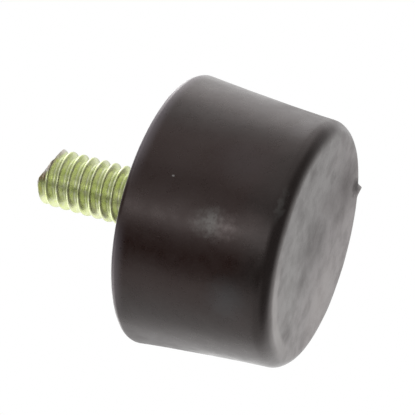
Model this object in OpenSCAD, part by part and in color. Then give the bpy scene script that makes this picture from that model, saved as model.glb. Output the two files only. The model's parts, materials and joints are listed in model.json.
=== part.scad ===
// Rubber foot with a moulded-in mounting stud.
//
// The foot stands on its floor face with the stud pointing up, as it does before it is fastened.
// The origin is the centre of the floor face, and +Z is the axis of the foot and of the stud.
// All sizes are in millimetres.

/* [Rubber body] */
// Height of the rubber, from the floor face to the mounting face
body_h = 16; // [12:0.5:40]
// Diameter of the mounting end, as a sharp corner before its edge is rounded
mount_d = 28.6; // [24:0.1:50]
// Diameter of the floor end, as a sharp corner before its edge is rounded
floor_d = 25.4; // [20:0.1:50]
// Depth of the hollow in the flank, at mid height, below a straight taper
flank_hollow = 0.15; // [0.05:0.05:0.5]
// Radius of the rounded floor edge
floor_edge_r = 1.7; // [1:0.1:3]
// Radius of the mounting edge
mount_edge_r = 0.6; // [0.2:0.1:1.5]
// Diameter of the shallow relief round the stud, in the mounting face
relief_d = 7.4; // [7:0.1:10]
// Depth of the relief
relief_depth = 0.5; // [0.2:0.1:1]

/* [Gate nub] */
// How far the nub left by the mould's gate stands out of the floor edge
nub_out = 0.5; // [0.1:0.05:0.6]
// Width of the nub at its root
nub_w = 1.1; // [0.5:0.1:1.2]
// Width of the nub at its tip
nub_tip_w = 0.2; // [0.05:0.05:0.4]
// Bearing of the nub round the axis, from +X towards +Y
nub_bearing = 55; // [0:5:355]

/* [Stud outside the rubber] */
// Length of the stud that stands out of the mounting face
stud_out = 14.8; // [8:0.1:30]
// Major diameter of the thread, for 1/4 inch in class 2A
thread_d = 6.2; // [6:0.05:6.35]
// Diameter of the stud's end, inside the chamfer
tip_d = 4.4; // [3:0.1:5.5]
// Length of the chamfer on the stud's end
tip_chamfer_h = 0.7; // [0.3:0.1:2]
// How far the crooked shear cut reaches down from the end, at the side of the stud
shear_h = 1.5; // [0.8:0.1:4]
// Slope of the shear cut, from square across the stud
shear_tilt = 31; // [5:1:50]
// Bearing towards which the shear cut faces, from +X towards +Y
shear_bearing = 320; // [0:5:355]

/* [Stud inside the rubber] */
// Diameter of the plain neck, the blank that the thread is rolled on
neck_d = 5.5; // [4.5:0.1:5.8]
// Depth of the head's bearing face under the mounting face
anchor_depth = 4; // [2:0.1:6]
// Width of the hexagon head across its flats, 7/16 inch
head_af = 11.1; // [10.6:0.1:13]
// Height of the head, with its washer face
head_h = 4; // [2:0.1:5]
// Diameter of the washer face on the head's bearing side
washer_d = 10.4; // [9:0.1:10.5]
// Height of the washer face
washer_h = 0.4; // [0.1:0.1:0.8]

/* [Hidden] */
// Names of the separate pieces
// The piece that is drawn, or all of them

// Facets in a full turn of any round surface
$fn = 144;
// Steps along a rounded edge, and along the flank
EDGE_STEPS = 10;
FLANK_STEPS = 14;
// Sides of the head, and the angle of the chamfer on its corners, from its end face
HEAD_SIDES = 6;
HEAD_CHAMFER_ANGLE = 30;
// Slope at which the nub points down from level, through the middle of the floor edge
NUB_DROP = 45;
// Length by which a cutting solid runs past what it cuts
OVERSHOOT = 1;

// Sharp corners of the section, between which the flank runs
floor_corner = [floor_d / 2, 0];
mount_corner = [mount_d / 2, body_h];
// The flank is an arc through both corners, and its centre lies outside the foot
flank_chord = norm(mount_corner - floor_corner);
flank_r = (flank_chord * flank_chord / 4 + flank_hollow * flank_hollow) / (2 * flank_hollow);
flank_along = (mount_corner - floor_corner) / flank_chord;
flank_outward = [flank_along.y, -flank_along.x];
flank_centre = (floor_corner + mount_corner) / 2 + flank_outward * (flank_r - flank_hollow);
// Centres of the edge arcs, which touch the flank arc and a flat face
floor_edge_centre = edge_centre(floor_edge_r, floor_edge_r);
mount_edge_centre = edge_centre(body_h - mount_edge_r, mount_edge_r);
// Heights of the stud's features above the floor face
bearing_z = body_h - anchor_depth;
head_z = bearing_z - head_h;
relief_z = body_h - relief_depth;
tip_z = body_h + stud_out;

// Centre of an edge arc of radius r at height z, touching the flank arc from inside the rubber
function edge_centre(z, r) =
    [flank_centre.x - sqrt(pow(flank_r + r, 2) - pow(flank_centre.y - z, 2)), z];

// Direction from one point of the section to another, as an angle
function heading(from, to) = atan2(to.y - from.y, to.x - from.x);

// Points of an arc about centre, from one angle to another
function arc(centre, r, from, to, steps) =
    [for (i = [0 : steps])
        let (a = from + (to - from) * i / steps)
        centre + r * [cos(a), sin(a)]];

// Half section of the rubber: floor face, floor edge, hollow flank, mounting edge, mounting face
module rubber_section() {
    floor_heading = heading(floor_edge_centre, flank_centre);
    mount_heading = heading(mount_edge_centre, flank_centre);
    floor_edge = arc(floor_edge_centre, floor_edge_r, -90, floor_heading, EDGE_STEPS);
    flank = arc(flank_centre, flank_r, 180 + floor_heading, 180 + mount_heading, FLANK_STEPS);
    mount_edge = arc(mount_edge_centre, mount_edge_r, mount_heading, 90, EDGE_STEPS);
    // The ends of the flank are already there, as the ends of the edges
    inner_flank = [for (i = [1 : FLANK_STEPS - 1]) flank[i]];
    polygon(concat([[0, 0]], floor_edge, inner_flank, mount_edge, [[0, body_h]]));
}

// Rubber nub that the mould's gate leaves on the floor edge, kept above the floor face
module gate_nub() {
    root_depth = floor_edge_r / 2;
    nub_h = root_depth + nub_out;
    root_w = nub_tip_w + (nub_w - nub_tip_w) * nub_h / nub_out;
    intersection() {
        rotate([0, 0, nub_bearing])
            translate([floor_edge_centre.x, 0, floor_edge_centre.y])
                rotate([0, 90 + NUB_DROP, 0])
                    translate([0, 0, floor_edge_r - root_depth])
                        cylinder(h = nub_h, d1 = root_w, d2 = nub_tip_w);
        cylinder(h = body_h, d = 2 * mount_d);
    }
}

// Hexagon head, washer face and neck, up to height neck_top: what the rubber is moulded round
module anchor(neck_top) {
    hexagon_h = head_h - washer_h;
    chamfer_r = head_af / 2;
    chamfer_spread = hexagon_h / tan(HEAD_CHAMFER_ANGLE);
    translate([0, 0, head_z])
        intersection() {
            cylinder(h = hexagon_h, d = head_af / cos(180 / HEAD_SIDES), $fn = HEAD_SIDES);
            cylinder(h = hexagon_h, r1 = chamfer_r, r2 = chamfer_r + chamfer_spread);
        }
    translate([0, 0, bearing_z - washer_h])
        cylinder(h = washer_h, d = washer_d);
    translate([0, 0, bearing_z - washer_h])
        cylinder(h = neck_top - bearing_z + washer_h, d = neck_d);
}

// Threaded end of the stud, as the cylinder that holds the thread's crests. The thread rises from
// the neck inside the relief, so that it is whole at the mounting face
module threaded_end() {
    chamfer_z = tip_z - tip_chamfer_h;
    translate([0, 0, relief_z])
        cylinder(h = relief_depth, d1 = neck_d, d2 = thread_d);
    translate([0, 0, body_h])
        cylinder(h = chamfer_z - body_h, d = thread_d);
    translate([0, 0, chamfer_z])
        cylinder(h = tip_chamfer_h, d1 = thread_d, d2 = tip_d);
}

// Everything on the far side of the crooked shear cut that parted the stud's blank from the bar
module shear_offcut() {
    size = 2 * (thread_d + shear_h);
    rotate([0, 0, shear_bearing])
        translate([thread_d / 2, 0, tip_z - shear_h])
            rotate([0, shear_tilt, 0])
                translate([-size, -size, 0])
                    cube([2 * size, 2 * size, size]);
}

// The moulded rubber, with the cavity that it forms round the stud's head and neck
module rubber_body() {
    color([0.19, 0.165, 0.16])
        difference() {
            union() {
                rotate_extrude()
                    rubber_section();
                gate_nub();
            }
            anchor(body_h + OVERSHOOT);
            translate([0, 0, relief_z])
                cylinder(h = relief_depth + OVERSHOOT, d = relief_d);
        }
}

// The steel stud: a hexagon-headed screw with a yellow zinc finish
module threaded_stud() {
    color([0.72, 0.75, 0.38])
        union() {
            anchor(relief_z);
            difference() {
                threaded_end();
                shear_offcut();
            }
        }
}

rubber_body();
threaded_stud();
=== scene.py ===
import json
import math

import bmesh
import bpy
import numpy as np
from mathutils import Matrix, Vector, noise

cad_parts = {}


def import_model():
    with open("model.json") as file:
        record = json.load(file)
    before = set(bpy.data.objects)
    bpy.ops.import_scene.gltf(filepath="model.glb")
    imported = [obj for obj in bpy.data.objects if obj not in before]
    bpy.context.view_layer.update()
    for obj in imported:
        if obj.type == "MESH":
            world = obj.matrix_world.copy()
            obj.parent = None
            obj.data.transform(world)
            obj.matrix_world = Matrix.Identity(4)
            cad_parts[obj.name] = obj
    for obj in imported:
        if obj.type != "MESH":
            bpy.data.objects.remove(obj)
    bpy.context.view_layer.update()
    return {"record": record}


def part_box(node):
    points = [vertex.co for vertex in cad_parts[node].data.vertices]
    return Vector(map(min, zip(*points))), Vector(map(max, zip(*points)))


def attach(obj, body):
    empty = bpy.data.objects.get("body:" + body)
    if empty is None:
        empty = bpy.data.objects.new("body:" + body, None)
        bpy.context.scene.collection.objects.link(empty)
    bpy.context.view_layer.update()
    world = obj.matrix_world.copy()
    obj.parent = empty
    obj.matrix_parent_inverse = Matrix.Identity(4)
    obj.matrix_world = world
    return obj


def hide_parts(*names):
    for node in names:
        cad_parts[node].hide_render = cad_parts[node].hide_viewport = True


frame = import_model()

# A millimetre, in metres. Sizes and places are in millimetres, in the row frame, unless a comment
# says otherwise. The foot stands, and words such as left are as seen from -Y: left is -X, right is
# +X and behind is +Y
MM = 0.001

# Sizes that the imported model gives
mounts = {mount["name"]: mount for mount in frame["record"]["mounts"]}
rubber_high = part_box("rubber_body")[1] / MM
stud_low, stud_high = (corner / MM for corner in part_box("threaded_stud"))
BODY_H = rubber_high.z
TIP_Z = stud_high.z
HEAD_Z = stud_low.z
CREST_R = mounts["stud"]["dims"]["r_mm"]

# Section of the rubber: the sharp corners of the flank, its hollow and the rounded edges
FLOOR_CORNER = (12.7, 0.0)
MOUNT_CORNER = (14.3, BODY_H)
FLANK_HOLLOW = 0.15
FLOOR_EDGE_R = 1.7
MOUNT_EDGE_R = 0.6
RELIEF_R = 3.7
RELIEF_Z = BODY_H - 0.5
# Steps along the section's stretches, from the centre of the floor face to the relief
FLOOR_STEPS = 24
FLOOR_EDGE_STEPS = 20
FLANK_STEPS = 32
MOUNT_EDGE_STEPS = 8
MOUNT_STEPS = 10

# Waves and sink marks of the moulding: half their depth, and how fine they are
WAVE_DEPTH = 0.035
WAVE_SCALE = 0.16
SINK_DEPTH = 0.012
SINK_SCALE = 0.45
SINK_SHIFT = Vector((7.0, 3.0, 1.0))
# How near they come to the relief and to the mounting face, which stay true
TRUE_RIM = 1
TRUE_DEPTH = 0.01

# Gate nub on the floor edge: its bearing, its slope down from level, how far it stands out, the
# radius of its root, and the power that makes its side hollow
NUB_BEARING = math.radians(55)
NUB_DROP = math.radians(45)
NUB_OUT = 0.68
NUB_ROOT_R = 1.05
NUB_HOLLOW = 1.5

# Stud inside the rubber
NECK_R = 2.75
HEAD_AF = 11.1
HEAD_SIDES = 6
HEAD_CHAMFER_ANGLE = math.radians(30)
BEARING_Z = BODY_H - 4
WASHER_R = 5.2
WASHER_Z = BEARING_Z - 0.4

# Thread, 20 to the inch, right hand. Its crest crosses the bearing of +X at CREST_PHASE above the
# mounting face, and it grows out of the neck over RUN_OUT
PITCH = 1.27
ROOT_R = 2.42
CREST_HALF = 0.1
FLANK_SLOPE = math.tan(math.radians(60))
ROOT_ROUNDING = 0.2
CREST_ROUNDING = 0.1
CREST_PHASE = 1.01
RUN_OUT = 0.6
# Places of the profile's points along the axis, from the middle of a crest towards a root
STATIONS = (0.0, 0.04, 0.07, 0.1, 0.14, 0.2, 0.28, 0.36, 0.4, 0.44, 0.48, 0.52, 0.57)
# Turns that start under the mounting face, and the top of the mesh, above the cut, with the length
# over which the thread fades there
TURNS_UNDER = 2
THREAD_TOP = TIP_Z + 1.2
THREAD_FADE = 0.5

# End of the stud: its chamfer, the dents in its flat end, and the crooked shear cut with its tears
END_R = 2.2
CHAMFER_H = 0.7
DENT_DEPTH = 0.05
DENT_SCALE = 0.9
DENT_LAYER = 2.0
TEAR_DEPTH = 0.07
TEAR_SCALE = 1.1
TEAR_LAYER = 5.0
# Roughness of the tears: how fast their detail fades, how much finer each layer is, and the layers
TEAR_DETAIL = (0.9, 2.1, 4)
SHEAR_H = 1.5
SHEAR_TILT = math.radians(31)
SHEAR_BEARING = math.radians(320)
SHEAR_NORMAL = Vector((
    math.sin(SHEAR_TILT) * math.cos(SHEAR_BEARING),
    math.sin(SHEAR_TILT) * math.sin(SHEAR_BEARING),
    math.cos(SHEAR_TILT),
))
SHEAR_POINT = Vector((
    CREST_R * math.cos(SHEAR_BEARING),
    CREST_R * math.sin(SHEAR_BEARING),
    TIP_Z - SHEAR_H,
))

# The envelope that shapes the stud's end: its radius and where it starts, both clear of the head,
# and the rings of its top, few as far in as SKIRT_R and many from END_FIELD_R to the axis
ENVELOPE_R = HEAD_AF
ENVELOPE_Z = HEAD_Z - 1
SKIRT_R = CREST_R + 0.5
SKIRT_RINGS = 4
END_FIELD_R = CREST_R + 0.4
END_FIELD_RINGS = 50

# Columns of the turned meshes, a multiple of the head's sides, the distances within which points
# are merged, and the angles past which an edge stays sharp
RUBBER_COLUMNS = 720
STUD_COLUMNS = 144
MERGE_TURNED = 1e-4
MERGE_CUT = 1e-3
RUBBER_SHARP = math.radians(40)
STUD_SHARP = math.radians(28)

# The camera, as found from the picture. In pixels: the picture's side, the focal length and where
# the centre of the floor face is seen. Then the size of a pixel there, in metres
PICTURE = 415
FOCAL = 1615.28
FLOOR_CENTRE = (317.66, 247.85)
PIXEL = 0.0994 * MM
# Angle from the foot's axis to the direction of view, the axis's roll in the picture, and the
# width of the camera's sensor
AXIS_TILT = math.radians(69.73)
AXIS_ROLL = math.radians(14.97)
SENSOR = 36

# Colours are linear. A pair is two shades that clouds or places mix.
# Clean rubber: brown, with a pale grain, and a painted cool reflection tint at the sides and floor
# end
BROWN_RUBBER = ((0.0175, 0.0062, 0.0045), (0.0245, 0.0132, 0.0113))
REFLECTION_TINT_RUBBER = ((0.0138, 0.0126, 0.0117), (0.0230, 0.0125, 0.0110))
RUBBER_GRAIN = (0.036, 0.025, 0.023)
# Where the painted reflection tint comes in: how far to both sides, and how low, on a line that
# wanders by the amount given next. Its second shade comes in on the right
REFLECTION_TINT_SIDES = (6.5, 10.5)
REFLECTION_TINT_LOW = (7.0, 3.5)
REFLECTION_TINT_UNEVEN = 4.0
REFLECTION_TINT_RIGHT = (8.0, 13.5)

# Marks of the flank, each at a bearing in degrees and a height, with its reach along each axis: a
# pale speck, a mottled painted highlight of a lamp, browner below and greyer above, and hazes of
# bloom, with their strength and colour
SPECK = (-77, 11.6)
SPECK_REACH = (0.13, 0.5, 0.2)
SPECK_COLOUR = (0.30, 0.29, 0.28)
LAMP_HIGHLIGHT = (-91, 6.3)
LAMP_HIGHLIGHT_REACH = (1.9, 3.0, 3.1)
LAMP_HIGHLIGHT_COLOURS = ((0.150, 0.124, 0.120), (0.152, 0.148, 0.140))
LAMP_HIGHLIGHT_CHANGE = (5.4, 6.8)
HAZES = (
    ((-123, 4.2), (3.6, 3.6, 2.8), 0.75, (0.042, 0.045, 0.047)),
    ((-86, 3.2), (2.0, 3.0, 2.2), 0.5, (0.070, 0.055, 0.052)),
    ((-62, 5.5), (3.4, 3.4, 4.0), 0.5, (0.040, 0.032, 0.034)),
    ((-76, 0.9), (2.6, 2.4, 0.5), 0.7, (0.075, 0.072, 0.068)),
    ((-30, 2.4), (3.0, 3.4, 1.6), 0.6, (0.075, 0.069, 0.070)),
)
# Painted highlight along the mounting edge, a pale band: the heights and the distances from the
# axis over which it comes in, and where it does so across the foot, on the left and on the right of
# the stud and at the left corner
EDGE_HIGHLIGHT = (0.190, 0.172, 0.193)
EDGE_HIGHLIGHT_Z = (14.4, 15.9)
EDGE_HIGHLIGHT_R = (13.0, 13.8)
EDGE_HIGHLIGHT_LEFT = (-1.2, -5.2)
EDGE_HIGHLIGHT_RIGHT = (0.3, 6.2)
EDGE_HIGHLIGHT_CORNER = (-12.0, -8.0)

# The floor face, greyed by dust and wear: its near shade, its far shade with painted light, and
# where they meet, on a line that wanders by the amount given next. Then the shades mixed over them:
# painted light behind and on the left, and the grain and the clouds where less dust clings
WORN_AND_LIT_RUBBER = ((0.0715, 0.0660, 0.0595), (0.0925, 0.0680, 0.0665))
FAR_LIGHT_Y = (2.0, 14.0)
FAR_LIGHT_UNEVEN = 16.0
PAINTED_LIGHT_BEHIND = (0.160, 0.129, 0.125)
PAINTED_LIGHT_BEHIND_Y = (1, 11)
PAINTED_LIGHT_LEFT = (0.25, 0.226, 0.218)
PAINTED_LIGHT_LEFT_X = (3.0, -9.0)
WORN_GRAIN = (0.18, 0.160, 0.157)
WORN_CLOUD = (0.020, 0.0135, 0.012)
# How deep the faint clouds all over are, and the others' centres, reaches and depths
FAINT_CLOUDS = 0.32
CLOUDS = (
    ((0.6, -1.4), (5.5, 6.5), 0.42),
    ((4.2, 5.0), (3.4, 4.8), 0.42),
    ((7.0, -1.0), (1.8, 1.8), 0.4),
    ((2.6, -7.0), (1.6, 3.4), 0.3),
    ((-3.6, -2.2), (3.4, 2.2), 0.35),
    ((4.6, 0.5), (3.0, 6.5), 0.3),
    ((7.2, 4.5), (4.4, 7.0), 0.5),
    ((-8.8, -2.6), (2.0, 2.6), 0.4),
    ((7.1, 8.3), (1.6, 2.6), 0.9),
    ((7.0, -7.5), (2.4, 2.4), 0.3),
)
# Pale marks of the floor face, each with its centre, reach and softness: a thin rim and a broad
# band, with the distances from the axis over which they begin and end, and dust
RIM = ((-8.5, -8.5), (9.5, 9.5), 0.8)
RIM_R = ((9.9, 10.5), (11.6, 11.1))
RIM_STRENGTH = 0.9
RIM_COLOUR = (0.30, 0.275, 0.265)
BAND = ((-3.5, -6.0), (9.0, 6.5), 0.8)
BAND_R = ((5.5, 6.4), (10.0, 7.5))
BAND_STRENGTH = 0.38
BAND_COLOUR = (0.19, 0.185, 0.175)
DUST = ((-5.5, 6.5), (7.0, 5.5), 1)
DUST_STRENGTH = 0.75
DUST_COLOUR = (0.27, 0.235, 0.225)
# How far up a mark of the floor face reaches, and the heights over which its finish comes in
MARK_REACH_Z = 3
FLOOR_FACE_Z = (0.35, 0.05)

# Where the flank is duller, on both sides: how far out and at what heights that comes in, and by
# how much
DULL_LEFT = ((-12.0, -14.0), (6.0, 11.0))
DULL_RIGHT = ((11.8, 13.4), (9.0, 4.0))
DULLER = 0.2

# The stud: the zinc's shades and its worn patches, the shades of the bare face and the heights over
# the shear cut between which it comes in. Its stains, with their place, reach and colour
ZINC = ((0.67, 0.74, 0.34), (0.74, 0.78, 0.46))
WORN_ZINC = (0.82, 0.84, 0.64)
BARE_STEEL = ((0.58, 0.51, 0.42), (0.72, 0.69, 0.60))
BARE_Z = (-0.25, 0.05)
STAINS = (
    ((-0.3, -2.6, 29.8), (0.75, 0.8, 0.6), (0.27, 0.18, 0.09)),
    ((-1.9, -1.9, 29.5), (0.6, 0.8, 0.4), (0.62, 0.52, 0.12)),
)
STAIN_STRENGTH = 0.85

# The studio, on a sphere of 1 round the foot. Its colour, how bright it is in front of the foot,
# and how much the wall behind it adds: below the level of the foot, and above it on both sides
WHITE = (1, 1, 1, 1)
ROOM_LEVEL = 0.72
WALL_LOW = 0.92
WALL_LEFT = 0.88
WALL_RIGHT = 0.56
# The wall's middle is turned a little to the right. Its edge is soft, it fades high up and low
# down to a share of its brightness, and its sides and its low part merge over a stretch
WALL_TURN = 0.2
WALL_EDGE = (-0.15, 0.55)
WALL_FADE = (0.5, 0.95)
WALL_FADED = 0.35
WALL_SIDES = (-0.4, 0.4)
WALL_RISE = (-0.2, 0.1)
# The room is dark below, but not behind the foot
UNDER_GAIN = 0.25
UNDER_Z = (-0.3, -0.7)
UNDER_Y = (0.5, 0.1)
# The bright ceiling: the heights of its soft edge, and its brightness
CEILING = (0.28, 0.6)
CEILING_GAIN = 2.25
# What the foot reflects from around it: the bearing from -Y towards +X and the half width, in
# degrees, the brightness beside the room's, and the height where it ends, after a soft edge
REFLECTED = (
    (-37, 22, 0.06, 0.45),  # dark gap
    (-32, 16, 0.05, 0.8),  # narrower and taller dark gap
    (-5, 7, 3.7, 0.42),  # bright strip
    (23, 15, 0.5, 0.6),  # dim stretch
)
REFLECTED_EDGE = 0.25
# Other soft shapes: their direction, their half width in degrees and their brightness
SOFT_SHAPES = (
    ((-0.80, -0.05, 0.6), 28, 1.8),  # softbox above the foot, on the left
    ((0.80, 0.2, 0.6), 28, 1.7),  # softbox above the foot, on the right
    ((0.65, 0.5, -0.57), 38, 0.35),  # dark corner low behind the foot, on the right
    ((0.0, 1.0, 0.0), 18, 0.5),  # dimmer middle of the wall
    ((-0.59, 0.70, 0.45), 20, 0.75),  # dimmer upper left of the wall
    ((0.78, 0.50, 0.42), 22, 1.4),  # brighter upper right of the wall
    ((0.0, 0.0, 1.0), 60, 0.15),  # dim middle of the ceiling
    ((0.0, -0.65, 0.76), 24, 0.1),  # dark patch of the ceiling, in front
)

# The floor that the foot stands on: a disc with its reach and its height, in metres, its sides, the
# shares of the reach between which it fades out, and its colour
STAGE_REACH = 0.25
STAGE_Z = -0.05 * MM
STAGE_SIDES = 96
STAGE_FADE = (0.35, 0.95)
STAGE_GREY = (0.9, 0.9, 0.9, 1)


# ---------------------------------------------------------------- turned meshes


def smoothstep(low, high, x):
    """x's way from low to high, from 0 to 1, eased at both ends."""
    t = np.clip((x - low) / (high - low), 0, 1)
    return t * t * (3 - 2 * t)


def columns_of(count):
    """Bearings of a turned mesh's columns."""
    return np.arange(count) * 2 * math.pi / count


def arc(centre, radius, start, end, steps):
    """Points (radius, height) of an arc of the section, between two angles."""
    angles = np.linspace(start, end, steps + 1)
    return [(centre[0] + radius * math.cos(a), centre[1] + radius * math.sin(a)) for a in angles]


def run(start, end, steps):
    """Points of a straight stretch of the section, without its first point."""
    across, up = end[0] - start[0], end[1] - start[1]
    shares = np.linspace(0, 1, steps + 1)[1:]
    return [(start[0] + across * share, start[1] + up * share) for share in shares]


def grid(rings, bearings):
    """Points of a turned form, by ring and column. A ring is (radius, height), and either can be an
    array, with one value for each column."""
    radius = np.array([np.broadcast_to(ring[0], bearings.shape) for ring in rings])
    height = np.array([np.broadcast_to(ring[1], bearings.shape) for ring in rings])
    return np.stack([radius * np.cos(bearings), radius * np.sin(bearings), height], -1)


def merge_close(mesh, distance):
    """Cuts up the faces with many sides, merges points that are closer than distance, and turns
    every face outward."""
    bm = bmesh.new()
    bm.from_mesh(mesh)
    bmesh.ops.triangulate(bm, faces=[face for face in bm.faces if len(face.verts) > 4])
    bmesh.ops.remove_doubles(bm, verts=bm.verts, dist=distance)
    bmesh.ops.dissolve_degenerate(bm, edges=bm.edges, dist=distance)
    bmesh.ops.recalc_face_normals(bm, faces=bm.faces)
    bm.to_mesh(mesh)
    bm.free()


def turned_mesh(name, points, joined=None):
    """Closed mesh over a grid of points whose first and last rings are single points. At the seam
    each ring joins the one that joined names, or else itself."""
    rings, columns = points.shape[:2]
    joined = np.arange(rings) if joined is None else joined
    column = np.arange(columns)
    after = (column + 1) % columns
    same = np.repeat(np.arange(rings)[:, None], columns, 1)
    onward = np.where(after == 0, joined[:, None], same)
    here, there = same * columns + column, onward * columns + after
    faces = np.stack([here[:-1], there[:-1], there[1:], here[1:]], -1).reshape(-1, 4)
    mesh = bpy.data.meshes.new(name)
    mesh.from_pydata(points.reshape(-1, 3).tolist(), [], faces.tolist())
    merge_close(mesh, MERGE_TURNED)
    return mesh


def coordinates(mesh, kind="co"):
    """The vertices' places, or their normals, as an array."""
    values = np.zeros(len(mesh.vertices) * 3, np.float32)
    mesh.vertices.foreach_get(kind, values)
    return values.reshape(-1, 3).astype(float)


def move_to(mesh, points):
    """Moves the vertices to an array of places."""
    mesh.vertices.foreach_set("co", points.astype(np.float32).ravel())
    mesh.update()


def finished(mesh, sharp_angle):
    """The mesh in metres, smooth but for its sharp edges, as an object of the scene."""
    mesh.transform(Matrix.Scale(MM, 4))
    mesh.shade_smooth()
    mesh.set_sharp_from_angle(angle=sharp_angle)
    piece = bpy.data.objects.new(mesh.name, mesh)
    bpy.context.scene.collection.objects.link(piece)
    return piece


def head_rings(bearings):
    """Rings round the hexagon head and its washer face, from the centre of its end face up to the
    neck."""
    sector = 2 * math.pi / HEAD_SIDES
    flat_r = HEAD_AF / 2
    side_r = flat_r / np.cos(bearings % sector - sector / 2)
    chamfer_z = HEAD_Z + (side_r - flat_r) * math.tan(HEAD_CHAMFER_ANGLE)
    return [
        (0, HEAD_Z), (flat_r / 2, HEAD_Z), (flat_r, HEAD_Z),
        (side_r, chamfer_z), (side_r, WASHER_Z),
        (WASHER_R, WASHER_Z), (WASHER_R, BEARING_Z), (NECK_R, BEARING_Z),
    ]


# ---------------------------------------------------------------- rubber body


def rubber_section():
    """The outside of the rubber, from the centre of the floor face to the relief, and the centre of
    the floor edge."""
    floor_corner, mount_corner = Vector(FLOOR_CORNER), Vector(MOUNT_CORNER)
    chord = (mount_corner - floor_corner).length
    along = (mount_corner - floor_corner) / chord
    flank_r = (chord ** 2 / 4 + FLANK_HOLLOW ** 2) / (2 * FLANK_HOLLOW)
    middle = (floor_corner + mount_corner) / 2
    flank_centre = middle + Vector((along.y, -along.x)) * (flank_r - FLANK_HOLLOW)

    def edge(z, radius):
        """Centre of an edge arc, and the angle at which it meets the flank."""
        rise = flank_centre.y - z
        reach = math.sqrt((flank_r + radius) ** 2 - rise ** 2)
        return (flank_centre.x - reach, z), math.atan2(rise, reach)

    floor_centre, floor_angle = edge(FLOOR_EDGE_R, FLOOR_EDGE_R)
    mount_centre, mount_angle = edge(BODY_H - MOUNT_EDGE_R, MOUNT_EDGE_R)
    # The flank's centre lies outside the foot, so its angles are turned by half a circle
    start, end = math.pi + floor_angle, math.pi + mount_angle
    floor_edge = arc(floor_centre, FLOOR_EDGE_R, -math.pi / 2, floor_angle, FLOOR_EDGE_STEPS)
    flank = arc(flank_centre, flank_r, start, end, FLANK_STEPS)
    mount_edge = arc(mount_centre, MOUNT_EDGE_R, mount_angle, math.pi / 2, MOUNT_EDGE_STEPS)
    section = [(0.0, 0.0)] + run((0.0, 0.0), (floor_centre[0], 0.0), FLOOR_STEPS)
    section += floor_edge[1:] + flank[1:] + mount_edge[1:]
    section += run(mount_edge[-1], (RELIEF_R, BODY_H), MOUNT_STEPS) + [(RELIEF_R, RELIEF_Z)]
    return section, floor_centre


def uneven(points, normals):
    """Slight waves and sink marks that moulding leaves, always into the rubber. The mounting face,
    the relief and the neck's hole stay true."""
    def depth(point):
        wave = noise.noise(Vector(point) * WAVE_SCALE)
        sink = noise.noise(Vector(point) * SINK_SCALE + SINK_SHIFT)
        return WAVE_DEPTH * (1 + wave) + SINK_DEPTH * (1 + sink)

    radius = np.hypot(points[:, 0], points[:, 1])
    moved = (radius > RELIEF_R + TRUE_RIM) | (points[:, 2] < HEAD_Z / 2)
    moved &= points[:, 2] < BODY_H - TRUE_DEPTH
    depths = np.array([depth(point) if moves else 0.0 for point, moves in zip(points, moved)])
    return points - normals * depths[:, None]


def gate_nub(points, floor_centre):
    """Draws the nub out of the floor edge: a cone with a hollow side and a thin tip."""
    outward = np.array([math.cos(NUB_BEARING), math.sin(NUB_BEARING), 0.0])
    centre = outward * floor_centre[0] + np.array([0, 0, floor_centre[1]])
    axis = outward * math.cos(NUB_DROP) - np.array([0, 0, math.sin(NUB_DROP)])
    from_centre = points - centre
    along = from_centre @ axis
    aside = np.linalg.norm(from_centre - along[:, None] * axis, axis=1)
    share = np.clip(1 - aside / NUB_ROOT_R, 0, 1)
    drawn = np.where(along > 0, NUB_OUT * share ** NUB_HOLLOW, 0)
    return points + np.outer(drawn, axis)


def make_rubber():
    """The moulded rubber: outside, relief, and the cavity round the stud's neck and head."""
    bearings = columns_of(RUBBER_COLUMNS)
    section, floor_centre = rubber_section()
    rings = section + [(NECK_R, RELIEF_Z)] + head_rings(bearings)[::-1]
    mesh = turned_mesh("moulded_rubber", grid(rings, bearings))
    points = uneven(coordinates(mesh), coordinates(mesh, "normal"))
    move_to(mesh, gate_nub(points, floor_centre))
    return finished(mesh, RUBBER_SHARP)


# ---------------------------------------------------------------- threaded stud


def thread_profile():
    """(place along the axis, radius) over one pitch, from one root to the next: straight flanks
    between a narrow crest and a rounded root."""
    places = [-PITCH / 2] + [-u for u in STATIONS[:0:-1]] + list(STATIONS)

    def radius(u):
        flank = CREST_R - (abs(u) - CREST_HALF) * FLANK_SLOPE
        # The larger of flank and root, and then the smaller of that and the crest, both rounded
        rooted = 0.5 * (flank + ROOT_R + math.hypot(flank - ROOT_R, ROOT_ROUNDING))
        return 0.5 * (rooted + CREST_R - math.hypot(rooted - CREST_R, CREST_ROUNDING))

    return [(u, radius(u)) for u in places]


def stud_grid():
    """Points of the headed stud, and the ring that each ring joins at the seam. The thread's rings
    climb one pitch in a turn, and lie flat where the thread ends."""
    bearings = columns_of(STUD_COLUMNS)
    rings = head_rings(bearings) + [(NECK_R, RELIEF_Z)]
    first = len(rings)
    profile = thread_profile()
    climb = PITCH * bearings / (2 * math.pi)
    for turn in range(-TURNS_UNDER, math.ceil((THREAD_TOP - BODY_H) / PITCH) + 1):
        for u, radius in profile:
            z = BODY_H + CREST_PHASE + turn * PITCH + u + climb
            grown = smoothstep(RELIEF_Z, RELIEF_Z + RUN_OUT, z)
            grown = grown * (1 - smoothstep(THREAD_TOP - THREAD_FADE, THREAD_TOP, z))
            rings.append((NECK_R + (radius - NECK_R) * grown, np.clip(z, RELIEF_Z, THREAD_TOP)))
    last = len(rings) - 1
    rings.append((0, THREAD_TOP))
    joined = np.arange(len(rings))
    joined[first:last + 1] = np.minimum(joined[first:last + 1] + len(profile), last)
    return grid(rings, bearings), joined


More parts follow.
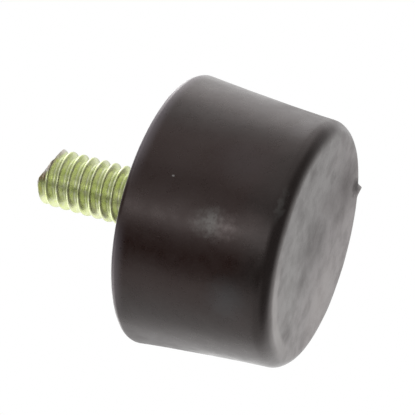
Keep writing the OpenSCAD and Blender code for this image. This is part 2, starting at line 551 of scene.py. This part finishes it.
def sheared_end(radius, bearings):
    """Height of the stud's end along a ring: the lowest of its chamfer, its dented flat end and the
    torn face of the shear cut."""
    x, y = radius * np.cos(bearings), radius * np.sin(bearings)
    chamfer = TIP_Z - (radius - END_R) * CHAMFER_H / (CREST_R - END_R)
    dents = [noise.noise(Vector((a, b, DENT_LAYER)))
             for a, b in zip(x * DENT_SCALE, y * DENT_SCALE)]
    tears = [noise.fractal(Vector((a, b, TEAR_LAYER)), *TEAR_DETAIL)
             for a, b in zip(x * TEAR_SCALE, y * TEAR_SCALE)]
    flat = TIP_Z - DENT_DEPTH * (1 + np.array(dents))
    fall = (x - SHEAR_POINT.x) * SHEAR_NORMAL.x + (y - SHEAR_POINT.y) * SHEAR_NORMAL.y
    shear = SHEAR_POINT.z - fall / SHEAR_NORMAL.z + TEAR_DEPTH * np.array(tears)
    return np.minimum(np.minimum(chamfer, flat), shear)


def end_envelope():
    """A solid that holds the whole stud, with the shape of its end on top."""
    bearings = columns_of(STUD_COLUMNS)
    rings = [(0, ENVELOPE_Z), (ENVELOPE_R, ENVELOPE_Z)]
    skirt = np.linspace(ENVELOPE_R, SKIRT_R, SKIRT_RINGS)
    end_field = np.linspace(END_FIELD_R, 0, END_FIELD_RINGS)
    for radius in np.append(skirt, end_field):
        rings.append((radius, sheared_end(radius, bearings)))
    return turned_mesh("end_envelope", grid(rings, bearings))


def make_stud():
    """The headed stud, cut to the shape of its end."""
    points, joined = stud_grid()
    uncut = bpy.data.objects.new("stud", turned_mesh("headed_stud", points, joined))
    envelope = bpy.data.objects.new("envelope", end_envelope())
    for made in (uncut, envelope):
        bpy.context.scene.collection.objects.link(made)
    cut = uncut.modifiers.new("end", "BOOLEAN")
    cut.operation = "INTERSECT"
    cut.solver = "EXACT"
    cut.object = envelope
    shaped = uncut.evaluated_get(bpy.context.evaluated_depsgraph_get())
    mesh = bpy.data.meshes.new_from_object(shaped)
    merge_close(mesh, MERGE_CUT)
    for made in (uncut, envelope):
        bpy.data.meshes.remove(made.data)
    mesh.name = "headed_stud"
    return finished(mesh, STUD_SHARP)


# ---------------------------------------------------------------- materials


class Tree:
    """A node tree that is written as expressions. What a method takes is a socket or a value."""

    def __init__(self, owner):
        owner.use_nodes = True
        self.tree = owner.node_tree
        self.tree.nodes.clear()

    def add(self, kind, inputs=(), **settings):
        """A new node, with its settings and its inputs, by name or by number."""
        made = self.tree.nodes.new("ShaderNode" + kind)
        for name, value in settings.items():
            setattr(made, name, value)
        for socket, value in dict(inputs).items():
            if isinstance(value, bpy.types.NodeSocket):
                self.tree.links.new(value, made.inputs[socket])
            else:
                made.inputs[socket].default_value = value
        return made

    def math(self, operation, *values):
        """What a Math node makes of the values."""
        return self.add("Math", enumerate(values), operation=operation).outputs[0]

    def times(self, product, *factors):
        """The product of two or more numbers."""
        for factor in factors:
            product = self.math("MULTIPLY", product, factor)
        return product

    def changed(self, level, here, gain):
        """level where here is 0, and level times gain where it is 1."""
        return self.times(level, self.math("MULTIPLY_ADD", here, gain - 1, 1))

    def vector(self, operation, *values):
        """What a Vector Math node makes of the values: a number or a vector."""
        made = self.add("VectorMath", enumerate(values), operation=operation)
        return made.outputs["Value" if operation in ("LENGTH", "DOT_PRODUCT") else "Vector"]

    def axes(self, where):
        """The three coordinates of a place or a direction."""
        return self.add("SeparateXYZ", {0: where}).outputs[:3]

    def from_axis(self, x, y):
        """Distance from the axis of the foot."""
        return self.math("SQRT", self.math("ADD", *(self.math("POWER", a, 2.0) for a in (x, y))))

    def clouds(self, where, scale, detail, roughness):
        """Noise in patches about 1 / scale wide, as a number round 0.5 and as a vector."""
        inputs = {"Vector": where, "Scale": scale, "Detail": detail, "Roughness": roughness}
        return self.add("TexNoise", inputs).outputs[:2]

    def noise(self, where, scale, detail=2, roughness=0.6):
        """The same as a number only."""
        return self.clouds(where, scale, detail, roughness)[0]

    def share(self, value, low, high, to_low=0.0, to_high=1.0):
        """value's way from low to high, eased, as a number from to_low to to_high."""
        inputs = {"Value": value, "From Min": low, "From Max": high}
        inputs.update({"To Min": to_low, "To Max": to_high})
        return self.add("MapRange", inputs, interpolation_type="SMOOTHSTEP").outputs[0]

    def blend(self, factor, a, b):
        """A number between a and b."""
        return self.add("Mix", {0: factor, 2: a, 3: b}).outputs[0]

    def mix(self, factor, a, b):
        """A colour between a and b."""
        a, b = ((*colour, 1) if isinstance(colour, tuple) else colour for colour in (a, b))
        return self.add("Mix", {0: factor, 6: a, 7: b}, data_type="RGBA").outputs[2]

    def place(self):
        """The surface's place in the row frame, in millimetres."""
        where = self.add("TexCoord").outputs["Object"]
        made = self.add("VectorMath", {0: where, "Scale": 1 / MM}, operation="SCALE")
        return made.outputs["Vector"]

    def ragged(self, where, amount, scale):
        """where, moved to and fro by up to about amount, which makes an outline ragged."""
        wander = self.clouds(where, scale, detail=4, roughness=0.65)[1]
        offset = self.vector("MULTIPLY_ADD", wander, (2 * amount,) * 3, (-amount,) * 3)
        return self.vector("ADD", where, offset)

    def spot(self, where, centre, reach, soft):
        """1 near a point and 0 past reach from it, which is one length for each axis. soft is the
        share of the reach over which it fades."""
        from_centre = self.vector("SUBTRACT", where, centre)
        scaled = self.vector("DIVIDE", from_centre, reach)
        return self.share(self.vector("LENGTH", scaled), 1, 1 - soft)

    def bump(self, height, strength, distance, under=None):
        """A normal, bumped by up to distance, in millimetres, over the one under it."""
        inputs = {"Height": height, "Strength": strength, "Distance": distance * MM}
        if under is not None:
            inputs["Normal"] = under
        return self.add("Bump", inputs).outputs[0]


def on_flank(bearing, z):
    """A point of the flank, from its bearing in degrees and its height."""
    radius = FLOOR_CORNER[0] + (MOUNT_CORNER[0] - FLOOR_CORNER[0]) * z / BODY_H
    angle = math.radians(bearing)
    return (radius * math.cos(angle), radius * math.sin(angle), z)


def flank_colour(t, where, ragged, grain):
    """The rubber away from its floor face, with its painted lamp highlight, hazes, painted
    highlight along the mounting edge and speck.
    """
    x, y, height = t.axes(where)
    cloud = t.share(t.noise(where, scale=0.17, detail=3), 0.35, 0.65)
    # Painted reflection tint: cooler shades at the sides and the floor end of the flank
    sides = t.share(t.math("ABSOLUTE", x), *REFLECTION_TINT_SIDES, to_high=0.85)
    wander = t.noise(where, scale=0.35, roughness=0.5)
    low = t.share(t.math("MULTIPLY_ADD", wander, REFLECTION_TINT_UNEVEN, height), *REFLECTION_TINT_LOW, to_high=0.7)
    reflection_tint = t.mix(t.share(x, *REFLECTION_TINT_RIGHT), *REFLECTION_TINT_RUBBER)
    colour = t.mix(t.math("MAXIMUM", sides, low), t.mix(cloud, *BROWN_RUBBER), reflection_tint)
    colour = t.mix(t.times(t.share(grain, 0.4, 0.75), 0.5), colour, RUBBER_GRAIN)

    # Painted highlight of a lamp, mottled by flecks, browner below and greyer above
    flecks = t.share(t.noise(where, scale=1.7), 0.32, 0.66, to_low=0.3)
    lamp_highlight = t.times(t.spot(ragged, on_flank(*LAMP_HIGHLIGHT), LAMP_HIGHLIGHT_REACH, soft=0.85), flecks)
    colour = t.mix(lamp_highlight, colour, t.mix(t.share(height, *LAMP_HIGHLIGHT_CHANGE), *LAMP_HIGHLIGHT_COLOURS))
    for centre, reach, strength, bloom in HAZES:
        haze = t.times(t.spot(ragged, on_flank(*centre), reach, soft=1), strength)
        colour = t.mix(haze, colour, bloom)

    # Painted highlight along the mounting edge, on the left and on the right of the stud
    edge = t.times(t.share(height, *EDGE_HIGHLIGHT_Z), t.share(t.from_axis(x, y), *EDGE_HIGHLIGHT_R))
    left = t.share(x, *EDGE_HIGHLIGHT_LEFT, to_high=0.85)
    right = t.share(x, *EDGE_HIGHLIGHT_RIGHT)
    corner = t.share(x, *EDGE_HIGHLIGHT_CORNER, to_low=0.05, to_high=0.85)
    colour = t.mix(t.times(edge, t.math("MAXIMUM", left, right), corner), colour, EDGE_HIGHLIGHT)
    return t.mix(t.spot(where, on_flank(*SPECK), SPECK_REACH, soft=0.6), colour, SPECK_COLOUR)


def floor_colour(t, where, ragged, grain):
    """The worn floor face, with painted light behind and on the left, and its clouds, where less
    dust clings.
    """
    x, y, _ = t.axes(where)
    from_axis = t.from_axis(x, y)

    def on_face(outline, centre, reach, soft):
        """1 near a point of the floor face and 0 past reach from it."""
        return t.spot(outline, (*centre, 0), (*reach, MARK_REACH_Z), soft)

    def ring(begins, ends):
        """1 in a ring round the axis."""
        return t.times(t.share(from_axis, *begins), t.share(from_axis, *ends))

    clouds = t.share(t.noise(where, scale=0.42, detail=5), 0.66, 0.36, to_high=FAINT_CLOUDS)
    for centre, reach, depth in CLOUDS:
        here = t.times(on_face(ragged, centre, reach, soft=1), depth)
        clouds = t.math("MAXIMUM", clouds, t.math("MULTIPLY_ADD", clouds, 0.5, here))

    wander = t.noise(ragged, scale=0.33, detail=3)
    # Painted light: the floor face is paler towards the back and on the left
    far_light = t.share(t.math("MULTIPLY_ADD", wander, FAR_LIGHT_UNEVEN, y), *FAR_LIGHT_Y)
    colour = t.mix(far_light, *WORN_AND_LIT_RUBBER)
    colour = t.mix(t.share(y, *PAINTED_LIGHT_BEHIND_Y), colour, PAINTED_LIGHT_BEHIND)
    colour = t.mix(t.share(x, *PAINTED_LIGHT_LEFT_X, to_high=0.45), colour, PAINTED_LIGHT_LEFT)
    colour = t.mix(t.times(t.share(grain, 0.45, 0.8), 0.4), colour, WORN_GRAIN)
    colour = t.mix(clouds, colour, WORN_CLOUD)

    rim = t.times(ring(*RIM_R), on_face(where, *RIM), RIM_STRENGTH)
    band = t.times(ring(*BAND_R), on_face(ragged, *BAND), BAND_STRENGTH)
    dust = t.times(on_face(ragged, *DUST), DUST_STRENGTH)
    for mark, pale in ((rim, RIM_COLOUR), (band, BAND_COLOUR), (dust, DUST_COLOUR)):
        colour = t.mix(mark, colour, pale)
    return colour, clouds


def black_rubber():
    """Moulded rubber: a flank with dull sides and painted highlights, and a worn floor face with
    painted light, duller in its clouds.
    """
    material = bpy.data.materials.new("black_rubber")
    t = Tree(material)
    where = t.place()
    x, _, height = t.axes(where)
    mottle = t.noise(where, scale=0.8, detail=4)
    grain = t.noise(where, scale=7)
    ragged = t.ragged(where, amount=0.9, scale=1.6)
    on_floor = t.share(height, *FLOOR_FACE_Z)
    worn_and_lit_face, clouds = floor_colour(t, where, ragged, grain)
    colour = t.mix(on_floor, flank_colour(t, where, ragged, grain), worn_and_lit_face)

    polish = t.share(mottle, 0.3, 0.7, to_low=0.26, to_high=0.33)
    left, right = (t.times(t.share(x, *across), t.share(height, *up))
                   for across, up in (DULL_LEFT, DULL_RIGHT))
    polish = t.math("MULTIPLY_ADD", t.math("ADD", left, right), DULLER, polish)
    wear = t.share(clouds, 0, 1, to_low=0.33, to_high=0.64)
    normal = t.bump(mottle, strength=0.25, distance=0.05)
    normal = t.bump(grain, strength=0.25, distance=0.01, under=normal)
    shader = t.add("BsdfPrincipled", {
        "Base Color": colour, "Roughness": t.blend(on_floor, polish, wear), "Normal": normal,
        "IOR": 1.5, "Specular Tint": (1, 0.88, 0.86, 1),
    })
    t.add("OutputMaterial", {"Surface": shader.outputs[0]})
    return material


def yellow_zinc():
    """Yellow zinc plating with worn patches, and bare, stained steel above the shear cut."""
    material = bpy.data.materials.new("yellow_zinc")
    t = Tree(material)
    where = t.place()
    film = t.noise(where, scale=0.5, detail=3)
    patch = t.noise(where, scale=2.2, detail=4, roughness=0.65)
    fine = t.noise(where, scale=14, roughness=0.5)
    zinc = t.mix(t.share(film, 0.35, 0.65), *ZINC)
    zinc = t.mix(t.share(patch, 0.45, 0.75), zinc, WORN_ZINC)
    bare = t.mix(t.share(patch, 0.4, 0.62), *BARE_STEEL)
    from_cut = t.vector("SUBTRACT", where, tuple(SHEAR_POINT))
    above_cut = t.vector("DOT_PRODUCT", from_cut, tuple(SHEAR_NORMAL))
    torn = t.share(t.math("MULTIPLY_ADD", patch, 0.5, above_cut), *BARE_Z)
    colour = t.mix(torn, zinc, bare)
    ragged = t.ragged(where, amount=0.35, scale=3)
    for centre, reach, stain in STAINS:
        here = t.times(t.spot(ragged, centre, reach, soft=0.8), STAIN_STRENGTH)
        colour = t.mix(here, colour, stain)

    roughness = t.share(patch, 0.3, 0.75, to_low=0.25, to_high=0.39)
    normal = t.bump(patch, strength=0.2, distance=0.03)
    normal = t.bump(fine, strength=0.2, distance=0.005, under=normal)
    shader = t.add("BsdfPrincipled", {
        "Base Color": colour, "Roughness": roughness, "Normal": normal,
        "Metallic": 0.76, "Specular Tint": (0.5, 0.5, 0.58, 1),
    })
    t.add("OutputMaterial", {"Surface": shader.outputs[0]})
    return material


# ---------------------------------------------------------------- studio


def world():
    """A room with a bright wall behind the foot and a bright ceiling, dim in front of the foot and
    dark below it. The camera itself sees plain white."""
    made = bpy.data.worlds.new("studio")
    bpy.context.scene.world = made
    t = Tree(made)
    direction = t.add("TexCoord").outputs["Generated"]
    x, y, z = t.axes(direction)
    away = t.math("ABSOLUTE", z)
    behind = t.math("MULTIPLY_ADD", x, WALL_TURN, y)
    faded = t.share(away, *WALL_FADE, to_low=1, to_high=WALL_FADED)
    wall = t.times(t.share(behind, *WALL_EDGE), faded)
    upper = t.share(x, *WALL_SIDES, to_low=WALL_LEFT, to_high=WALL_RIGHT)
    wall = t.times(wall, t.blend(t.share(z, *WALL_RISE), WALL_LOW, upper))
    level = t.math("ADD", wall, ROOM_LEVEL)
    bearing = t.math("ARCTAN2", x, t.times(y, -1))
    for middle, half_width, gain, top in REFLECTED:
        aside = t.math("ABSOLUTE", t.math("SUBTRACT", bearing, math.radians(middle)))
        here = t.share(aside, math.radians(half_width), math.radians(half_width) / 3)
        here = t.times(here, t.share(away, top, top - REFLECTED_EDGE))
        level = t.changed(level, here, gain)
    below = t.times(t.share(z, *UNDER_Z), t.share(y, *UNDER_Y))
    level = t.changed(level, below, UNDER_GAIN)
    level = t.times(level, t.share(z, *CEILING, to_low=1, to_high=CEILING_GAIN))
    for towards, half_width, gain in SOFT_SHAPES:
        nearness = t.vector("DOT_PRODUCT", direction, tuple(Vector(towards).normalized()))
        here = t.share(nearness, math.cos(math.radians(half_width)), 1)
        level = t.changed(level, here, gain)
    seen = t.add("LightPath").outputs["Is Camera Ray"]
    backdrop = t.add("Background", {"Color": WHITE, "Strength": t.blend(seen, level, 1.0)})
    t.add("OutputWorld", {"Surface": backdrop.outputs[0]})


def floor():
    """A pale floor that holds the object's shadow. It is seen only from above, and it fades out."""
    bm = bmesh.new()
    bmesh.ops.create_circle(bm, cap_ends=True, segments=STAGE_SIDES, radius=STAGE_REACH)
    mesh = bpy.data.meshes.new("floor")
    bm.to_mesh(mesh)
    bm.free()
    made = bpy.data.objects.new("floor", mesh)
    made.location.z = STAGE_Z
    bpy.context.scene.collection.objects.link(made)
    material = bpy.data.materials.new("pale_floor")
    t = Tree(material)
    from_centre = t.vector("LENGTH", t.add("TexCoord").outputs["Object"])
    faded = t.share(from_centre, *(share * STAGE_REACH for share in STAGE_FADE))
    from_below = t.add("NewGeometry").outputs["Backfacing"]
    clear = t.math("MAXIMUM", from_below, faded)
    paint = t.add("BsdfDiffuse", {"Color": STAGE_GREY}).outputs[0]
    through = t.add("BsdfTransparent").outputs[0]
    shader = t.add("MixShader", {0: clear, 1: paint, 2: through})
    t.add("OutputMaterial", {"Surface": shader.outputs[0]})
    made.data.materials.append(material)
    for ray in ("diffuse", "glossy", "transmission", "shadow"):
        setattr(made, "visible_" + ray, False)


def camera():
    """The camera, from where the floor face and the foot's axis lie in the picture."""
    tilt_sin, tilt_cos = math.sin(AXIS_TILT), math.cos(AXIS_TILT)
    roll_sin, roll_cos = math.sin(AXIS_ROLL), math.cos(AXIS_ROLL)
    right = Vector((roll_sin, roll_cos * tilt_cos, -roll_cos * tilt_sin))
    up = Vector((roll_cos, -roll_sin * tilt_cos, roll_sin * tilt_sin))
    forward = Vector((0, tilt_sin, tilt_cos))
    across, down = (centre - PICTURE / 2 for centre in FLOOR_CENTRE)
    data = bpy.data.cameras.new("camera")
    data.sensor_width = SENSOR
    data.lens = SENSOR * FOCAL / PICTURE
    made = bpy.data.objects.new("camera", data)
    bpy.context.scene.collection.objects.link(made)
    stand = (up * down - right * across - forward * FOCAL) * PIXEL
    axes = Matrix((right, up, -forward)).transposed().to_4x4()
    made.matrix_world = Matrix.Translation(stand) @ axes
    bpy.context.scene.camera = made


camera()
world()
floor()
bpy.context.scene.view_settings.view_transform = "Standard"

rubber = make_rubber()
rubber.data.materials.append(black_rubber())
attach(rubber, "root")
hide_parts("rubber_body")

stud = make_stud()
stud.data.materials.append(yellow_zinc())
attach(stud, "root")
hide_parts("threaded_stud")
